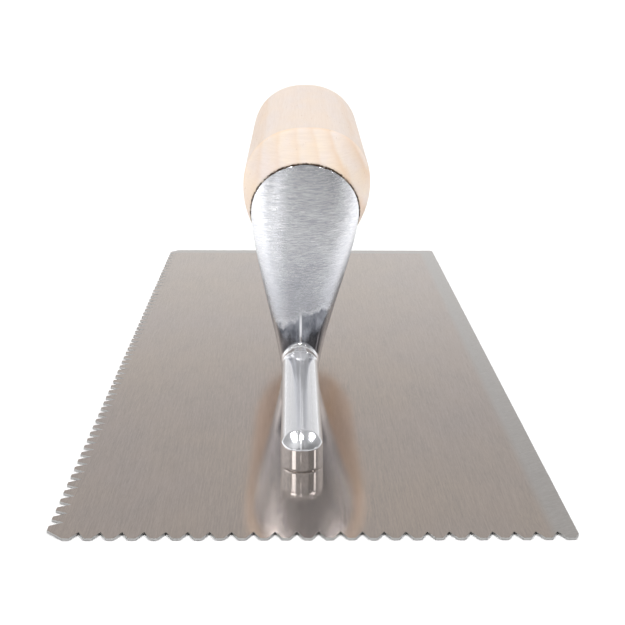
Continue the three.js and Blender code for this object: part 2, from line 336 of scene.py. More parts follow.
def grip_field(x, y, z):
    """The wooden handle in its own frame, where its axis is +Y."""
    height = np.where(z > 0, GRIP_CROWN, GRIP_BELLY)
    past = np.maximum(y - (GRIP_LENGTH - DOME_LENGTH), 0)
    round_section = GRIP_ROUNDNESS
    powers = np.abs(x / GRIP_HALF) ** round_section + np.abs(z / height) ** round_section
    ring = powers ** (1 / round_section)
    round_dome = DOME_ROUNDNESS
    reach = (ring**round_dome + (past / DOME_LENGTH) ** round_dome) ** (1 / round_dome)
    blank = np.sqrt(x * x + z * z + past * past) * (1 - 1 / np.maximum(reach, 1e-6))

    turn = grip_matrix.to_3x3().inverted()
    axis = np.array(turn @ Vector(bell_axis))
    dx = x - rod_start.x
    dy = y - rod_start.y
    dz = z - rod_start.z
    along = dx * axis[0] + dy * axis[1] + dz * axis[2]
    away = np.sqrt(np.maximum(dx * dx + dy * dy + dz * dz - along * along, 0))
    cone = (away - BEVEL_RADIUS - along * np.tan(BEVEL_ANGLE)) * np.cos(BEVEL_ANGLE)
    wood = blend_max(blank, cone, BEVEL_EDGE)
    wood = blend_max(wood, CLEARANCE - along, GRIP_FRONT_EDGE)

    rx, ry, rz = into(rod_in_grip, x, y, z)
    bore = np.hypot(rx, rz) - ROD_RADIUS - CLEARANCE
    recess = np.maximum(np.hypot(rx, rz) - RECESS_RADIUS, RECESS_FLOOR - ry)
    return blend_max(wood, -np.minimum(bore, recess), GRIP_HOLE_EDGE)


def nut_field(x, y, z):
    """A hexagon nut about +Y with its base at 0, chamfered corners and a threaded hole."""
    sides = [np.abs(x * np.cos(a) + z * np.sin(a)) for a in np.radians([30, 90, 150])]
    flats = np.max(sides, axis=0)
    around = np.hypot(x, z)
    top_chamfer = around - NUT_CORNER - (NUT_HEIGHT - y) / NUT_CHAMFER_SLOPE
    bottom_chamfer = around - NUT_CORNER - y / NUT_CHAMFER_SLOPE
    chamfers = np.maximum(top_chamfer, bottom_chamfer)
    turn = np.arctan2(z, x) / (2 * np.pi)
    thread = np.abs((y / ROD_THREAD + turn) % 1 - 0.5) * 2
    hole = ROD_RADIUS + 0.1 + 0.35 * thread - around
    countersink = ROD_RADIUS + 0.7 - np.minimum(y, NUT_HEIGHT - y) - around
    body = blend_max(flats - NUT_FLATS / 2, np.maximum(-y, y - NUT_HEIGHT), NUT_EDGE)
    # The factors bring the slopes' fields down to about the distance from them.
    return np.maximum.reduce([body, chamfers * 0.5, hole, countersink * 0.7])


# ---- Meshes ----


def grid_lines(*stretches):
    """Grid lines from stretches of (start, end, step), each starting where the last ended."""
    lines = []
    for start, end, step in stretches:
        count = max(round((end - start) / step), 1)
        lines.append(np.linspace(start, end, count, endpoint=False))
    return np.concatenate([*lines, [stretches[-1][1]]])


def crossings(field, lines, values, axis, halvings=12):
    """Where the grid's edges along axis cross the surface: their indices, points and normals."""
    ahead = [slice(None)] * 3
    behind = [slice(None)] * 3
    ahead[axis] = slice(1, None)
    behind[axis] = slice(None, -1)
    starts_inside = values[tuple(behind)] < 0
    index = np.argwhere(starts_inside != (values[tuple(ahead)] < 0))
    next_index = index.copy()
    next_index[:, axis] += 1
    point = np.stack([lines[k][index[:, k]] for k in range(3)], 1)
    low = lines[axis][index[:, axis]]
    high = lines[axis][next_index[:, axis]]
    inside = starts_inside[tuple(index.T)]
    for _ in range(halvings):
        point[:, axis] = (low + high) / 2
        same = (field(*point.T) < 0) == inside
        low = np.where(same, point[:, axis], low)
        high = np.where(same, high, point[:, axis])
    return index, inside, point, slopes(field, point)


def slopes(field, point, step=0.02):
    """The field's direction of growth at each point, as unit vectors."""
    grow = np.empty_like(point)
    for k in range(3):
        shift = np.zeros(3)
        shift[k] = step
        grow[:, k] = field(*(point + shift).T) - field(*(point - shift).T)
    return grow / np.maximum(np.linalg.norm(grow, axis=1, keepdims=True), 1e-12)


def dual_contour(field, lines, pull=0.04):
    """Vertices and quads of the surface where the field is 0. Edges and corners stay sharp.

    The pull holds a vertex near the middle of its crossings where they don't settle its place.
    """
    shape = np.array([len(line) for line in lines])
    values = np.asarray(field(*np.meshgrid(*lines, indexing="ij", sparse=True)))
    cells, points, normals, quads = [], [], [], []
    for axis in range(3):
        index, inside, point, normal = crossings(field, lines, values, axis)
        second = (axis + 1) % 3
        third = (axis + 2) % 3
        ring = []
        for a, b in ((1, 1), (0, 1), (0, 0), (1, 0)):
            cell = index.copy()
            cell[:, second] -= a
            cell[:, third] -= b
            ring.append(np.ravel_multi_index(tuple(cell.T), shape))
        for corner in ring:
            cells.append(corner)
            points.append(point)
            normals.append(normal)
        quad = np.stack(ring, 1)
        quads.append(np.where(inside[:, None], quad, quad[:, ::-1]))
    cells, points, normals = (np.concatenate(part) for part in (cells, points, normals))
    used, owner = np.unique(cells, return_inverse=True)
    count = np.bincount(owner)

    def total(weights):
        return np.bincount(owner, weights)

    middle = np.stack([total(points[:, k]) / count for k in range(3)], 1)
    offset = np.sum(normals * (points - middle[owner]), 1)
    matrix = np.empty((len(used), 3, 3))
    right = np.empty((len(used), 3, 1))
    for k in range(3):
        right[:, k, 0] = total(normals[:, k] * offset)
        for j in range(3):
            matrix[:, k, j] = total(normals[:, k] * normals[:, j])
    matrix += pull * np.eye(3) * count[:, None, None]
    vertices = middle + np.linalg.solve(matrix, right)[:, :, 0]
    corner_index = np.stack(np.unravel_index(used, shape), 1)
    for k in range(3):
        first = lines[k][corner_index[:, k]]
        last = lines[k][np.minimum(corner_index[:, k] + 1, shape[k] - 1)]
        vertices[:, k] = np.clip(vertices[:, k], first, last)
    faces = np.searchsorted(used, np.concatenate(quads))
    return vertices, faces


def piece(name, mesh, material, replaces, matrix=Matrix.Identity(4)):
    """A finished piece from a mesh in millimetres, placed by a matrix in millimetres."""
    mesh.transform(Matrix.Scale(MM, 4))
    mesh.materials.append(material)
    thing = bpy.data.objects.new(name, mesh)
    bpy.context.scene.collection.objects.link(thing)
    placed = matrix.copy()
    placed.translation = matrix.translation * MM
    thing.matrix_world = placed
    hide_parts(*replaces)
    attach(thing, "root")
    return thing


def mesh_from(name, vertices, faces):
    """A mesh from lists that shades smoothly but for its sharp edges."""
    mesh = bpy.data.meshes.new(name)
    mesh.from_pydata(vertices, [], faces)
    mesh.validate()
    mesh.polygons.foreach_set("use_smooth", np.ones(len(mesh.polygons), bool))
    mesh.set_sharp_from_angle(angle=SHARP_ANGLE)
    return mesh


def solid(name, field, lines):
    """A mesh of the solid that a field describes."""
    vertices, faces = dual_contour(field, lines)
    return mesh_from(name, vertices.tolist(), faces.tolist())


def turned(name, profile, segments, axis="Y"):
    """A turned surface from a profile of (radius, along) points. One on the axis closes it."""
    angles = np.linspace(0, 2 * np.pi, segments, endpoint=False)
    vertices, faces, rings = [], [], []
    for radius, along in profile:
        if radius == 0:
            rings.append([len(vertices)] * segments)
            vertices.append((0, along, 0))
        else:
            rings.append(list(range(len(vertices), len(vertices) + segments)))
            vertices += [(radius * np.cos(a), along, -radius * np.sin(a)) for a in angles]
    for lower, upper in zip(rings, rings[1:]):
        for i in range(segments):
            j = (i + 1) % segments
            corners = [lower[i], lower[j], upper[j], upper[i]]
            faces.append(list(dict.fromkeys(corners)))
    mesh = mesh_from(name, vertices, faces)
    if axis == "Z":
        mesh.transform(Matrix.Rotation(np.pi / 2, 4, "X"))
    return mesh


# ---- Blade ----


def notch(tip, along, into_blade):
    """One V notch about tip, going along the edge, with rounded shoulders: a list of points."""
    side = []
    for share in (0, 0.25, 0.5, 0.75, 1):
        shoulder = NOTCH_HALF + TIP_ROUNDING * (1 - share) ** 2 - 0.5 * TIP_ROUNDING * share**2
        side.append((shoulder, TIP_ROUNDING * share**2))
    near_point = NOTCH_DEPTH - NOTCH_POINT_DEPTH
    points = [(-s, d) for s, d in side]
    points += [(-NOTCH_POINT_HALF, near_point), (0, NOTCH_DEPTH), (NOTCH_POINT_HALF, near_point)]
    points += [(s, d) for s, d in reversed(side)]
    return [tip + s * along + d * into_blade for s, d in points]


def blade_outline():
    """The blade's edge, anticlockwise from the toothed corner, first along the short edge."""
    left, front = blade_low.x, blade_low.y
    right, back = blade_high.x, blade_high.y
    east, north = Vector((1, 0)), Vector((0, 1))
    points = [Vector((left + CORNER_CUT, front))]
    for i in range(SHORT_NOTCHES):
        points += notch(Vector((left + SHORT_START + i * PITCH, front)), east, north)
    points.append(Vector((right - PLAIN_CORNER_CUT, front)))
    points.append(Vector((right, front + 2 * PLAIN_CORNER_CUT)))
    points.append(Vector((right, back - PLAIN_CORNER_CUT)))
    points.append(Vector((right - PLAIN_CORNER_CUT, back)))
    points.append(Vector((left + FAR_CORNER_CUT, back)))
    points.append(Vector((left, back - 1.5 * FAR_CORNER_CUT)))
    for i in reversed(range(LONG_NOTCHES)):
        points += notch(Vector((left, front + LONG_START + i * PITCH)), -north, east)
    points.append(Vector((left, front + CORNER_CUT)))
    return points


def blade_mesh():
    """The sheet with its countersunk holes and slightly broken edges."""
    sheet = bmesh.new()
    bottom = [sheet.verts.new((p.x, p.y, blade_low.z)) for p in blade_outline()]
    face = sheet.faces.new(bottom)
    raised = bmesh.ops.extrude_face_region(sheet, geom=[face])["geom"]
    tops = [v for v in raised if isinstance(v, bmesh.types.BMVert)]
    bmesh.ops.translate(sheet, verts=tops, vec=(0, 0, THICKNESS))
    bmesh.ops.recalc_face_normals(sheet, faces=sheet.faces)
    rims = [e for e in sheet.edges if abs(e.verts[0].co.z - e.verts[1].co.z) < 1e-6]
    bmesh.ops.bevel(sheet, geom=rims, offset=BLADE_EDGE, segments=2, affect="EDGES", profile=0.6)
    bmesh.ops.triangulate(sheet, faces=[f for f in sheet.faces if len(f.verts) > 4])
    mesh = bpy.data.meshes.new("blade_steel")
    sheet.to_mesh(mesh)
    sheet.free()
    return mesh


def cut_holes(thing, cutters):
    """Takes the cutters' shapes out of thing and removes the cutters."""
    for cutter in cutters:
        modifier = thing.modifiers.new("hole", "BOOLEAN")
        modifier.object = cutter
        modifier.operation = "DIFFERENCE"
        modifier.solver = "EXACT"
    bpy.context.view_layer.update()
    evaluated = thing.evaluated_get(bpy.context.evaluated_depsgraph_get())
    mesh = bpy.data.meshes.new_from_object(evaluated)
    thing.modifiers.clear()
    thing.data = mesh
    for cutter in cutters:
        bpy.data.objects.remove(cutter)


def rivet_places():
    """The rivets' axes where they meet the underside, from the toothed short edge on."""
    return [Vector((BAR_X, (i - (RIVETS - 1) / 2) * RIVET_SPACING, 0)) for i in range(RIVETS)]


def countersinks():
    """Tools that cut the rivets' countersunk holes in the blade."""
    wide = RIVET_HEAD + CLEARANCE / 2
    narrow = RIVET_SHANK + CLEARANCE / 2
    below = -1
    above = 2
    profile = [(0, below), (wide, below), (wide, RIVET_BOTTOM)]
    profile += [(narrow, THICKNESS + RIVET_BOTTOM), (narrow, above), (0, above)]
    tools = []
    for i, place in enumerate(rivet_places()):
        mesh = turned(f"countersink_{i}", profile, 48, "Z")
        mesh.transform(Matrix.Scale(MM, 4) @ Matrix.Translation(place))
        tool = bpy.data.objects.new(f"countersink_{i}", mesh)
        bpy.context.scene.collection.objects.link(tool)
        tools.append(tool)
    return tools


# ---- Rod, washer and rivets ----


def threaded_rod():
    """The rod about +Y, with screw threads at both ends."""
    around = 40
    fine = ROD_THREAD / 8
    coarse = 6
    start = -ROD_GRIP
    tail_start = ROD_END - TAIL_THREAD
    front_stretch = (start, FRONT_THREAD_END, fine)
    plain_stretch = (FRONT_THREAD_END, tail_start, coarse)
    tail_stretch = (tail_start, ROD_END, fine)
    along = grid_lines(front_stretch, plain_stretch, tail_stretch)
    vertices, faces = [(0, along[0], 0)], []
    for y in along:
        run_out = min(max(FRONT_THREAD_END - y, y - tail_start) / 3, 1)
        end_taper = min(max(min(y - start, ROD_END - y), 0) / 0.9, 1)
        for i in range(around):
            turn = i / around
            depth = abs((y / ROD_THREAD + turn) % 1 - 0.5) * 2 * THREAD_DEPTH * max(run_out, 0)
            radius = ROD_RADIUS - depth - 0.8 * (1 - end_taper)
            angle = -2 * np.pi * turn
            vertices.append((radius * np.cos(angle), y, radius * np.sin(angle)))
    vertices.append((0, along[-1], 0))
    last = len(vertices) - 1
    for i in range(around):
        j = (i + 1) % around
        faces.append((0, 1 + j, 1 + i))
        for k in range(len(along) - 1):
            a = 1 + k * around
            faces.append((a + i, a + j, a + around + j, a + around + i))
        faces.append((last, last - around + i, last - around + j))
    return mesh_from("tang_rod_steel", vertices, faces)


def washer_mesh():
    """The washer about +Y: punched, so that its upper outer edge is the rounder one."""
    inner, outer = ROD_RADIUS + CLEARANCE, WASHER_RADIUS
    bottom = RECESS_FLOOR + CLEARANCE
    top = bottom + WASHER_THICKNESS
    hole_edge = 0.18
    sharp = 0.08
    punched = 0.35
    ring = [(inner + hole_edge, bottom), (outer - sharp, bottom), (outer, bottom + sharp)]
    ring += [(outer, top - punched), (outer - 0.12, top - 0.1), (outer - punched, top)]
    ring += [(inner + hole_edge, top), (inner, top - hole_edge), (inner, bottom + hole_edge)]
    ring += [(inner + hole_edge, bottom)]
    mesh = turned("washer_steel", ring, 72)
    clean = bmesh.new()
    clean.from_mesh(mesh)
    bmesh.ops.remove_doubles(clean, verts=clean.verts, dist=1e-5)
    bmesh.ops.recalc_face_normals(clean, faces=clean.faces)
    clean.to_mesh(mesh)
    clean.free()
    return mesh


def rivet_mesh(name):
    """A countersunk rivet about +Z: a flush head with a driving mark, and a blind shank."""
    low, high = RIVET_BOTTOM, THICKNESS + RIVET_BOTTOM
    profile = [(0, low + 0.22), (0.55, low + 0.2), (0.75, low + 0.04), (0.9, low), (2.1, low)]
    profile += [(2.2, low + 0.03), (2.3, low), (RIVET_HEAD - 0.08, low), (RIVET_HEAD, low + 0.05)]
    profile += [(RIVET_SHANK, high), (RIVET_SHANK, RIVET_TOP - 0.4), (RIVET_SHANK - 0.4, RIVET_TOP)]
    profile += [(0, RIVET_TOP)]
    return turned(name, profile, 48, "Z")


# ---- Materials ----


class Nodes:
    """A new material's shader nodes, added by short calls."""

    def __init__(self, name):
        self.material = bpy.data.materials.new(name)
        self.material.use_nodes = True
        self.tree = self.material.node_tree
        self.shader = self.tree.nodes["Principled BSDF"]

    def feed(self, socket, value):
        """Links another node's output to a socket, or sets it to a plain value."""
        if isinstance(value, bpy.types.NodeSocket):
            self.tree.links.new(value, socket)
        elif value is not None:
            socket.default_value = value

    def add(self, kind, inputs=None, **settings):
        node = self.tree.nodes.new("ShaderNode" + kind)
        for name, value in settings.items():
            setattr(node, name, value)
        for name, value in (inputs or {}).items():
            self.feed(node.inputs[name], value)
        return node

    def math(self, operation, a, b=None, c=None):
        node = self.add("Math", operation=operation)
        for socket, value in zip(node.inputs, (a, b, c)):
            self.feed(socket, value)
        return node.outputs[0]

    def place(self):
        """Object coordinates in millimetres, as separate x, y and z."""
        coordinates = self.add("TexCoord").outputs["Object"]
        scaled = self.add("VectorMath", {0: coordinates, "Scale": 1 / MM}, operation="SCALE")
        return self.add("SeparateXYZ", {0: scaled.outputs[0]}).outputs

    def vector(self, x, y, z):
        return self.add("CombineXYZ", {0: x, 1: y, 2: z}).outputs[0]

    def stretched(self, place, scales, offset=0.0):
        """Coordinates in which a pattern is stretched by different amounts along x, y and z."""
        parts = [self.math("MULTIPLY_ADD", p, s, offset) for p, s in zip(place, scales)]
        return self.vector(*parts)

    def noise(self, vector, detail, roughness, distortion=0.0):
        inputs = {"Vector": vector, "Scale": 1.0, "Detail": detail, "Roughness": roughness}
        inputs["Distortion"] = distortion
        return self.add("TexNoise", inputs).outputs[0]

    def remap(self, value, low, high, to_low=0.0, to_high=1.0, smooth=False):
        """The value taken from low..high to to_low..to_high, and held there past the ends."""
        inputs = {"Value": value, "From Min": low, "From Max": high}
        inputs |= {"To Min": to_low, "To Max": to_high}
        kind = "SMOOTHSTEP" if smooth else "LINEAR"
        return self.add("MapRange", inputs, interpolation_type=kind).outputs[0]

    def mix(self, factor, a, b):
        """A colour between a and b."""
        node = self.add("Mix", data_type="RGBA")
        self.feed(node.inputs["Factor"], factor)
        self.feed(node.inputs[6], a)
        self.feed(node.inputs[7], b)
        return node.outputs[2]

    def facing(self, axis):
        """How far the surface faces along one of the object's own axes, from -1 to 1."""
        normal = self.add("NewGeometry").outputs["Normal"]
        settings = {"vector_type": "NORMAL", "convert_from": "WORLD", "convert_to": "OBJECT"}
        turned_normal = self.add("VectorTransform", {0: normal}, **settings).outputs[0]
        return self.add("SeparateXYZ", {0: turned_normal}).outputs[axis]

    def about_axis(self, place, start, axis):
        """How far along an axis a place is, and how far away from it."""
        inputs = {0: self.vector(*place), 1: start}
        offset = self.add("VectorMath", inputs, operation="SUBTRACT").outputs[0]
        dot = self.add("VectorMath", {0: offset, 1: axis}, operation="DOT_PRODUCT").outputs["Value"]
        shadow = self.add("VectorMath", {0: axis, "Scale": dot}, operation="SCALE").outputs[0]
        aside = self.add("VectorMath", {0: offset, 1: shadow}, operation="SUBTRACT").outputs[0]
        away = self.add("VectorMath", {0: aside}, operation="LENGTH").outputs["Value"]
        return dot, away

    def relief(self, *layers):
        """Noises added up by weight, about a height of 0."""
        height = 0.0
        for noise, weight in layers:
            about_zero = self.math("SUBTRACT", noise, 0.5)
            height = self.math("ADD", self.math("MULTIPLY", about_zero, weight), height)
        return height

    def blend(self, factor, a, b):
        """A number between a and b."""
        return self.add("Mix", {"Factor": factor, 2: a, 3: b}).outputs[0]

    def bump(self, height, distance):
        """A normal from a height, where a height of 1 stands for the distance in millimetres."""
        inputs = {"Height": height, "Distance": distance * MM, "Strength": 1.0}
        return self.add("Bump", inputs).outputs[0]

    def finish(self, **inputs):
        """The material, with its shader's inputs fed."""
        for name, value in inputs.items():
            self.feed(self.shader.inputs[name.replace("_", " ")], value)
        return self.material


def rgb(red, green, blue):
    """A colour from 0 to 255 as it looks on a screen, made linear."""
    screen = np.array([red, green, blue]) / 255
    linear = np.where(screen > 0.04045, ((screen + 0.055) / 1.055) ** 2.4, screen / 12.92)
    return (*[float(c) for c in linear], 1.0)


# Widths of the blade's ground edges, and heights over which the casting's finishes and its painted
# shade give way to each other, in millimetres, from where each change begins to where it ends.
GROUND_BAND = (4, 7)
LINISHED_FROM = (24.5, 27.0)
SEAM_FADES = (18.5, 23.5)
ABOVE_BAR = (12.0, 17.0)
BELL_PAINTED_SHADE_FADES = (30, 56)


def blade_material():
    """Cold-rolled steel with a fine lengthwise grain, ground bright along its plain edges."""
    n = Nodes("blade_steel_look")
    x, y, z = n.place()
    grain = n.noise(n.stretched((x, y, z), (3.4, 0.10, 1.0)), 4, 0.75)
    fine = n.noise(n.stretched((x, y, z), (9.0, 0.45, 1.0), 7.0), 3, 0.7)
    cloud = n.noise(n.stretched((x, y, z), (0.03, 0.02, 0.05), 3.0), 3, 0.5)
    smudge = n.noise(n.stretched((x, y, z), (0.14, 0.05, 0.1), 5.0), 3, 0.6)
    streak = n.math("ADD", n.math("MULTIPLY", grain, 0.5), n.math("MULTIPLY", fine, 0.5))
    far_band = n.remap(n.math("SUBTRACT", blade_high.y, y), *GROUND_BAND, 1, 0, True)
    right_band = n.remap(n.math("SUBTRACT", blade_high.x, x), *GROUND_BAND, 1, 0, True)
    slant = n.math("ADD", x, n.math("MULTIPLY", y, 0.6))
    across = n.math("SUBTRACT", n.math("MULTIPLY", x, 0.6), y)
    grinding = n.noise(n.stretched((slant, across, z), (0.3, 2.4, 1.0), 11.0), 3, 0.7)
    far_lines = n.noise(n.stretched((x, y, z), (0.2, 3.0, 1.0), 5.0), 3, 0.7)
    ground = n.math("MAXIMUM", far_band, right_band)
    relief = n.blend(ground, streak, n.blend(far_band, grinding, far_lines))
    warm = n.mix(n.remap(cloud, 0.35, 0.65), rgb(203, 191, 185), rgb(207, 193, 181))
    dark = n.mix(n.remap(smudge, 0.35, 0.65), rgb(180, 170, 163), rgb(190, 177, 168))
    tone = n.mix(n.remap(streak, 0.36, 0.62), dark, warm)
    ground_tone = n.mix(n.remap(relief, 0.3, 0.7), rgb(190, 188, 185), rgb(206, 204, 202))
    sheet = n.mix(n.math("MULTIPLY", ground, 0.75), tone, ground_tone)
    wall = n.remap(n.math("ABSOLUTE", n.facing("Z")), 0.35, 0.65, 1, 0)
    rough = n.math("ADD", n.remap(relief, 0.3, 0.7, 0.06, 0.13), n.math("MULTIPLY", ground, 0.06))
    return n.finish(
        Base_Color=n.mix(wall, sheet, rgb(172, 171, 170)),
        Metallic=1.0,
        Roughness=n.blend(wall, rough, 0.38),
        Anisotropic=0.3,
        Tangent=n.vector(0.0, 1.0, 0.0),
        Normal=n.bump(relief, 0.005),
    )


def aluminium_material():
    """Cast aluminium, linished crosswise on the bell and polished with a hazy top on the bar.

    The front and back of the low gooseneck are darker, partly a real dark finish and partly painted
    reflection. The underside above the bar and the lower bell are darkened as painted shade.
    """
    n = Nodes("cast_aluminium_look")
    x, y, z = n.place()
    tilted = n.math("MULTIPLY_ADD", x, -0.06, z)
    strokes = n.noise(n.stretched((x, y, tilted), (0.32, 0.32, 3.8)), 4, 0.8, distortion=0.15)
    fine = n.noise(n.stretched((x, y, tilted), (0.7, 0.7, 7.0), 4.0), 3, 0.7)
    mottle = n.noise(n.stretched((x, y, z), (0.16, 0.16, 0.16), 5.0), 3, 0.6)
    pits = n.noise(n.stretched((x, y, z), (0.9, 0.9, 0.9), 2.0), 3, 0.6)
    lengthwise = n.noise(n.stretched((x, y, z), (4.0, 0.12, 4.0), 9.0), 3, 0.6)
    edge = n.noise(n.stretched((x, y, z), (0.22, 0.22, 0.1)), 3, 0.6)
    ragged = n.math("MULTIPLY_ADD", edge, 9.0, n.math("MULTIPLY_ADD", x, -0.3, z))
    linished = n.remap(ragged, *LINISHED_FROM, 0, 1, True)
    not_linished = n.math("SUBTRACT", 1.0, linished)

    seam_drift = n.math("MULTIPLY_ADD", edge, 0.5, x)
    off_seam = n.math("ABSOLUTE", n.math("SUBTRACT", seam_drift, BAR_X + 0.35))
    on_seam = n.remap(off_seam, 0.18, 0.42, 1, 0, True)
    seam = n.math("MULTIPLY", on_seam, n.remap(z, *SEAM_FADES, 0.8, 0, True))

    across = n.math("SUBTRACT", x, BAR_X)
    arched = n.math("MULTIPLY_ADD", n.math("MULTIPLY", across, across), RIM_BEND, z)
    above_rim = n.remap(arched, RIM_TOP - 0.1, RIM_TOP + 0.5, 0, 1, True)
    front_or_back = n.remap(n.math("ABSOLUTE", n.facing("Y")), 0.35, 0.75, 0, 1, True)
    low_neck = n.math("MULTIPLY", n.math("MULTIPLY", above_rim, not_linished), front_or_back)

    # Painted shade: downward faces above the bar are darkened and made rougher.
    above_bar = n.remap(z, *ABOVE_BAR, 0, 1, True)
    faces_down = n.remap(n.facing("Z"), -0.02, -0.3, 0, 1, True)
    underside_painted_shade = n.math("MULTIPLY", faces_down, above_bar)
    faces_up = n.remap(n.facing("Z"), 0.84, 0.95, 0, 1, True)
    hazy_top = n.math("MULTIPLY", faces_up, n.math("SUBTRACT", 1.0, above_bar))

    worked = n.relief((strokes, 0.5), (fine, 0.2), (mottle, 1.8))
    smooth = n.relief((pits, 0.05), (lengthwise, 0.04))
    bright = n.mix(n.remap(strokes, 0.34, 0.64), rgb(211, 213, 220), rgb(250, 250, 252))
    # Painted shade: the bell is darkened low down, fading out going up, with a mottled edge.
    bell_shade_height = n.math("MULTIPLY_ADD", mottle, 14.0, z)
    bright = n.mix(n.remap(bell_shade_height, *BELL_PAINTED_SHADE_FADES, 0.78, 0, True), bright, rgb(178, 180, 187))
    polished = n.mix(n.remap(pits, 0.3, 0.7), rgb(220, 221, 225), rgb(232, 232, 235))
    # Partly painted reflection: the low neck's dark tone is part real finish, part painted
    # reflection.
    drips = n.noise(n.stretched((x, y, z), (0.3, 0.3, 0.14), 3.0), 3, 0.65)
    skin_and_painted_reflection = n.mix(n.remap(drips, 0.38, 0.62), rgb(88, 90, 97), rgb(136, 138, 145))
    colour = n.mix(linished, n.mix(low_neck, polished, skin_and_painted_reflection), bright)
    colour = n.mix(n.math("MULTIPLY", hazy_top, 0.6), colour, rgb(200, 201, 205))
    colour = n.mix(n.math("MULTIPLY", underside_painted_shade, 0.85), colour, rgb(116, 116, 120))
    colour = n.mix(seam, colour, rgb(228, 228, 231))
    buffed = n.remap(n.facing("Z"), 0.2, 0.5, 0.1, 0.12, True)
    rough = n.blend(linished, buffed, n.remap(fine, 0.3, 0.7, 0.2, 0.28))
    return n.finish(
        Base_Color=colour,
        Metallic=n.blend(hazy_top, 1.0, 0.55),
        Roughness=n.blend(underside_painted_shade, rough, 0.36),
        Normal=n.bump(n.blend(linished, smooth, worked), 0.12),
    )


def wood_material():
    """Pale sanded wood: end grain with growth rings on the bevel, lengthwise fibre elsewhere."""
    fan_rate = 0.024
    ring_spacing = 5.6
    ring_shift = 2.2
    n = Nodes("pale_wood_look")
    place = n.place()
    x, y, z = place
    turn = grip_matrix.to_3x3().inverted()
    along, away = n.about_axis(place, tuple(rod_start), tuple(turn @ Vector(bell_axis)))
    cone = n.math("MULTIPLY_ADD", along, np.tan(BEVEL_ANGLE), BEVEL_RADIUS)
    inside_cone = n.math("SUBTRACT", cone, away)
    bevel = n.remap(inside_cone, 0.25, 0.7, 1, 0, True)
    crease = n.math("MULTIPLY", bevel, n.remap(inside_cone, 0.05, 0.3, 0, 1, True))

    fan = n.math("EXPONENT", n.math("MULTIPLY", n.math("SUBTRACT", z, 14.0), fan_rate))
    sway = n.noise(n.stretched(place, (0.05, 0.012, 0.05)), 2, 0.5)
    ripple = n.noise(n.stretched(place, (0.3, 0.05, 0.3), 3.0), 3, 0.6)
    rings = n.math("MULTIPLY", n.math("ADD", x, 8.0), fan)
    rings = n.math("ADD", rings, n.math("MULTIPLY", sway, 5.0))
    rings = n.math("ADD", rings, n.math("MULTIPLY", ripple, 1.1))
    share = n.math("FRACT", n.math("DIVIDE", n.math("ADD", rings, ring_shift), ring_spacing))
    rising = n.math("POWER", n.remap(share, 0.0, 0.78), 2.0)
    late = n.math("MULTIPLY", rising, n.remap(share, 0.74, 1.0, 1, 0, True))
    strength = n.remap(x, 2.0, 12.0, 0.24, 0.5, True)
    sideways = n.remap(n.math("ABSOLUTE", n.facing("X")), 0.45, 0.9, 0, 1, True)

    fibre = n.noise(n.stretched(place, (2.0, 0.08, 2.0)), 4, 0.7)
    pores = n.noise(n.stretched(place, (2.6, 0.3, 0.8), 6.0), 2, 0.5)
    patch = n.noise(n.stretched(place, (0.10, 0.03, 0.10), 8.0), 3, 0.6)
    chatter = n.noise(n.stretched(place, (0.12, 0.4, 2.2), 4.0), 2, 0.6)
    blotch = n.remap(patch, 0.36, 0.64)
    long_grain = n.mix(blotch, rgb(222, 209, 201), rgb(226, 210, 197))
    fibres = n.math("MULTIPLY", n.remap(fibre, 0.4, 0.7), n.blend(sideways, 0.16, 0.45))
    long_grain = n.mix(fibres, long_grain, rgb(207, 186, 168))
    long_rings = n.math("MULTIPLY", late, n.blend(sideways, 0.06, 0.55))
    long_grain = n.mix(long_rings, long_grain, rgb(216, 184, 150))
    cut_grain = n.mix(blotch, rgb(239, 225, 217), rgb(244, 227, 208))
    chatter_marks = n.math("MULTIPLY", n.remap(chatter, 0.4, 0.65), 0.25)
    cut_grain = n.mix(chatter_marks, cut_grain, rgb(224, 206, 192))
    cut_grain = n.mix(n.math("MULTIPLY", late, strength), cut_grain, rgb(228, 190, 150))
    surface = n.mix(bevel, long_grain, cut_grain)
    worn = n.math("MULTIPLY", crease, n.remap(patch, 0.38, 0.6, 0.1, 0.5))
    surface = n.mix(worn, surface, rgb(236, 205, 168))
    # Painted shade: the wood darkens where it faces down.
    painted_shade_below = n.remap(n.facing("Z"), -0.1, -0.5, 0, 0.5, True)
    surface = n.mix(painted_shade_below, surface, rgb(184, 166, 152))
    flecks = n.remap(pores, 0.71, 0.76, 0, 0.6)
    surface = n.mix(flecks, surface, rgb(170, 124, 84))
    # Painted shadow: a dark ragged line on the wood's front face where it meets the bell.
    ragged_shadow_edge = n.noise(n.stretched(place, (0.9, 0.9, 0.9), 9.0), 3, 0.7)
    rim = n.remap(n.math("SUBTRACT", along, n.math("MULTIPLY", ragged_shadow_edge, 0.5)), 0.08, 0.16, 1, 0)
    fuzz = n.math("ADD", n.math("MULTIPLY", fibre, 0.5), n.math("MULTIPLY", chatter, 0.7))
    return n.finish(
        Base_Color=n.mix(rim, surface, rgb(74, 54, 38)),
        Roughness=n.remap(fibre, 0.3, 0.7, 0.5, 0.66),
        Specular_IOR_Level=0.35,
        Normal=n.bump(n.math("SUBTRACT", fuzz, flecks), 0.07),
    )


def plated_material():
    """Bright zinc plating with a faint mottle."""
    n = Nodes("plated_steel_look")
    x, y, z = n.place()
    mottle = n.noise(n.stretched((x, y, z), (0.6, 0.6, 0.6)), 3, 0.6)
    turned_lines = n.noise(n.stretched((x, y, z), (0.3, 7.0, 0.3)), 2, 0.5)
    colour = n.mix(n.remap(mottle, 0.3, 0.7), rgb(186, 184, 176), rgb(208, 206, 200))
    return n.finish(
        Base_Color=colour,
        Metallic=1.0,
        Roughness=n.remap(mottle, 0.3, 0.7, 0.24, 0.36),
        Normal=n.bump(turned_lines, 0.012),
    )


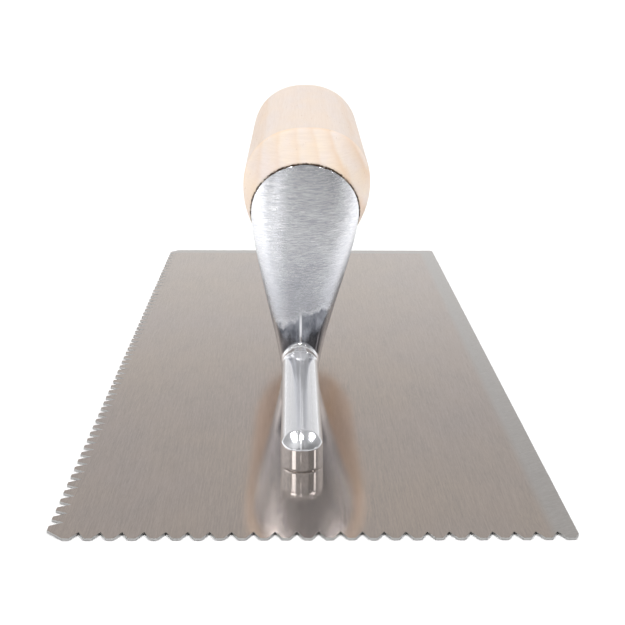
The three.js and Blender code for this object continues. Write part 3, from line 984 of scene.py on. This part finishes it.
def rivet_material():
    """Rivet steel ground flush: crossing scratches over the head."""
    n = Nodes("rivet_steel_look")
    x, y, z = n.place()
    scratches = n.noise(n.stretched((x, y, z), (7.0, 0.5, 1.0)), 3, 0.6)
    return n.finish(
        Base_Color=n.mix(scratches, rgb(168, 164, 158), rgb(198, 195, 190)),
        Metallic=1.0,
        Roughness=n.remap(scratches, 0.3, 0.7, 0.26, 0.4),
        Normal=n.bump(scratches, 0.006),
    )


def floor_material():
    """Plain pale matt floor."""
    n = Nodes("floor_look")
    x, y, z = n.place()
    tone = n.noise(n.stretched((x, y, z), (0.002, 0.002, 0.002)), 2, 0.5)
    return n.finish(
        Base_Color=n.mix(tone, (0.93, 0.93, 0.93, 1), (0.95, 0.95, 0.95, 1)),
        Roughness=0.9,
        Specular_IOR_Level=0.1,
    )


# ---- The pieces ----


def build_blade():
    blade = piece("blade_sheet", blade_mesh(), blade_material(), ["blade"])
    cut_holes(blade, countersinks())
    blade.data.polygons.foreach_set("use_smooth", np.zeros(len(blade.data.polygons), bool))


def build_mounting():
    """The casting, with the finest grid about the parting line, the collar and the bar's ends."""
    left_half = ((-18.2, -9, 0.5), (-9, -3.4, 0.25), (-3.4, -0.2, 0.16))
    right_half = ((-0.2, 5, 0.25), (5, 17.2, 0.5))
    front = ((-108.6, -100, 0.25), (-100, -46, 0.9), (-46, -36, 0.22), (-36, -6, 0.45))
    back = ((-6, 100, 1), (100, 108.6, 0.3))
    lines = (
        grid_lines(*left_half, *right_half),
        grid_lines(*front, *back),
        grid_lines((0.2, 14.0, 0.3), (14.0, 65.2, 0.45)),
    )
    mesh = solid("mounting_casting", mounting_field, lines)
    piece("mounting_casting", mesh, aluminium_material(), ["mounting"])


def build_grip():
    """The handle, with a coarser grid along its plain middle."""
    lines = (
        grid_lines((-20.6, 20.6, 0.7)),
        grid_lines((-17.5, 8.0, 0.45), (8.0, 92.0, 1.5), (92.0, 129.0, 0.6)),
        grid_lines((-21.0, 19.6, 0.7)),
    )
    mesh = solid("handle_wood", grip_field, lines)
    piece("handle_wood", mesh, wood_material(), ["handle"], grip_matrix)


def build_hardware():
    """The rod, and the washer and nut that sit on the floor of the recess in the tail."""
    plated = plated_material()
    piece("tang_rod_steel", threaded_rod(), plated, ["tang_rod"], rod_matrix)
    piece("washer_steel", washer_mesh(), plated, ["washer"], rod_matrix)
    reach = NUT_FLATS / np.sqrt(3) + 0.4
    lines = (
        grid_lines((-reach, reach, 0.2)),
        grid_lines((-0.3, NUT_HEIGHT + 0.3, 0.15)),
        grid_lines((-reach, reach, 0.2)),
    )
    base = RECESS_FLOOR + WASHER_THICKNESS + 2 * CLEARANCE
    placed = rod_matrix @ Matrix.Translation((0, base, 0))
    piece("nut_steel", solid("nut_steel", nut_field, lines), plated, ["nut"], placed)


def build_rivets():
    look = rivet_material()
    for i, place in enumerate(rivet_places(), 1):
        name = f"rivet_head_{i}"
        placed = Matrix.Translation(place)
        piece(name, rivet_mesh(name), look, [f"rivet_{i}"], placed)


# ---- Floor, lights and camera ----


FLOOR_HALF = 9.0
FLOOR_DROP = 0.00003


def build_floor():
    """A wide flat floor, in metres, just below the blade so that the two don't flicker."""
    mesh = bpy.data.meshes.new("floor")
    half = FLOOR_HALF
    corners = [(-half, -half, 0), (half, -half, 0), (half, half, 0), (-half, half, 0)]
    mesh.from_pydata(corners, [], [(0, 1, 2, 3)])
    mesh.materials.append(floor_material())
    floor = bpy.data.objects.new("floor", mesh)
    floor.location.z = -FLOOR_DROP
    bpy.context.scene.collection.objects.link(floor)


class Studio:
    """The world's light as a function of direction: a soft dome with softboxes in it."""

    def __init__(self):
        world = bpy.data.worlds.new("studio")
        bpy.context.scene.world = world
        world.use_nodes = True
        self.tree = world.node_tree
        direction = self.tree.nodes.new("ShaderNodeTexCoord").outputs["Generated"]
        split = self.tree.nodes.new("ShaderNodeSeparateXYZ")
        self.tree.links.new(direction, split.inputs[0])
        towards_camera = self.math("MULTIPLY", split.outputs["Y"], -1.0)
        self.azimuth = self.math("ARCTAN2", split.outputs["X"], towards_camera)
        self.rise = split.outputs["Z"]
        self.elevation = self.math("ARCSINE", self.rise)
        self.light = None

    def math(self, operation, a, b=0.0):
        node = self.tree.nodes.new("ShaderNodeMath")
        node.operation = operation
        for socket, value in zip(node.inputs, (a, b)):
            if isinstance(value, bpy.types.NodeSocket):
                self.tree.links.new(value, socket)
            else:
                socket.default_value = value
        return node.outputs[0]

    def add_light(self, light):
        self.light = light if self.light is None else self.math("ADD", self.light, light)

    def dome(self, stops):
        """Light that depends on the sine of the elevation alone."""
        ramp = self.tree.nodes.new("ShaderNodeValToRGB")
        self.tree.links.new(self.rise, ramp.inputs[0])
        elements = ramp.color_ramp.elements
        while len(elements) < len(stops):
            elements.new(1.0)
        for element, (place, level) in zip(elements, stops):
            element.position = place
            element.color = (level, level, level, 1)
        self.add_light(ramp.outputs[0])

    def band(self, angle, middle, half, soft):
        """1 within half of the middle angle, and 0 past that by soft more, in degrees."""
        away = self.math("ABSOLUTE", self.math("SUBTRACT", angle, np.radians(middle)))
        edge = self.tree.nodes.new("ShaderNodeMapRange")
        edge.interpolation_type = "SMOOTHSTEP"
        self.tree.links.new(away, edge.inputs["Value"])
        edge.inputs["From Min"].default_value = np.radians(half)
        edge.inputs["From Max"].default_value = np.radians(half + soft)
        edge.inputs["To Min"].default_value = 1
        edge.inputs["To Max"].default_value = 0
        return edge.outputs[0]

    def softbox(self, azimuth, elevation, half_width, half_height, soft, strength):
        """A softbox. Azimuth 0 is the camera's side and 90 the right, in degrees."""
        across = self.band(self.azimuth, azimuth, half_width, soft)
        up = self.band(self.elevation, elevation, half_height, soft)
        self.add_light(self.math("MULTIPLY", self.math("MULTIPLY", across, up), strength))

    def shade(self, azimuth, half_width, soft, strength):
        """Darkens the lights added so far on one side, less towards the top."""
        full_below = 55
        fades_over = 25
        across = self.band(self.azimuth, azimuth, half_width, soft)
        low = self.band(self.elevation, 0, full_below, fades_over)
        depth = self.math("MULTIPLY", self.math("MULTIPLY", across, low), strength)
        self.light = self.math("MULTIPLY", self.light, self.math("SUBTRACT", 1.0, depth))

    def finish(self):
        """Lights the scene, with a plain white backdrop behind the floor's far edge."""
        seen = self.tree.nodes.new("ShaderNodeLightPath").outputs["Is Camera Ray"]
        unseen = self.math("SUBTRACT", 1.0, seen)
        shown = self.math("ADD", self.math("MULTIPLY", self.light, unseen), seen)
        self.tree.links.new(shown, self.tree.nodes["Background"].inputs["Color"])


# The sine of an elevation, and how bright the dome is there.
DOME_STOPS = ((0.0, 0.95), (0.12, 0.87), (0.2, 0.82), (0.26, 0.75))
DOME_STOPS += ((0.34, 0.61), (0.45, 0.56), (0.7, 0.5), (1.0, 0.5))

# Azimuth, half width and softness in degrees, and how much of the dome's light is taken away.
CAMERA_SIDE_SHADE = (24, 46, 46, 0.45)

# Azimuth, elevation, half width, half height and softness in degrees, and strength.
SOFTBOXES = {
    "front": (0, 25, 30, 8, 10, 0.2),
    "low left": (-106, -4, 20, 8, 30, 0.8),
    "low right": (122, 2, 14, 8, 20, 0.35),
    "left spot": (-44, 21, 9, 2.5, 3, 2.2),
    "right spot": (76, 21, 4, 2.5, 3, 1.9),
    "left overhead": (-108, 68, 14, 4, 3, 30.0),
    "high left": (-62, 60, 14, 8, 22, 0.4),
    "right overhead": (108, 61, 6, 3, 3, 68.0),
}


def build_studio():
    studio = Studio()
    studio.dome(DOME_STOPS)
    studio.shade(*CAMERA_SIDE_SHADE)
    for softbox in SOFTBOXES.values():
        studio.softbox(*softbox)
    studio.finish()


# The photograph's camera, in radians and millimetres, solved from the notches and the corners.
CAMERA_PITCH = 0.27016
CAMERA_YAW = 0.018598
CAMERA_ROLL = 0.0063982
CAMERA_PLACE = Vector((-4.84, -380.17, 116.78))
CAMERA_LENS = 69.04
CAMERA_SENSOR = 36


def build_camera():
    """The photograph's view: a long lens ahead of the toothed short edge, looking down a little."""
    pitch, yaw, roll = CAMERA_PITCH, CAMERA_YAW, CAMERA_ROLL
    forward = Vector((np.sin(yaw) * np.cos(pitch), np.cos(yaw) * np.cos(pitch), -np.sin(pitch)))
    right = Vector((np.cos(yaw), -np.sin(yaw), 0))
    up = right.cross(forward)
    turned_right = right * np.cos(roll) + up * np.sin(roll)
    turned_up = up * np.cos(roll) - right * np.sin(roll)
    data = bpy.data.cameras.new("camera")
    data.lens = CAMERA_LENS
    data.sensor_width = CAMERA_SENSOR
    data.clip_end = 50
    camera = bpy.data.objects.new("camera", data)
    columns = Matrix((turned_right, turned_up, -forward)).transposed()
    camera.matrix_world = Matrix.Translation(CAMERA_PLACE * MM) @ columns.to_4x4()
    bpy.context.scene.collection.objects.link(camera)
    bpy.context.scene.camera = camera


build_camera()
build_studio()
build_floor()
build_blade()
build_mounting()
build_grip()
build_hardware()
build_rivets()
bpy.context.scene.view_settings.view_transform = "Standard"
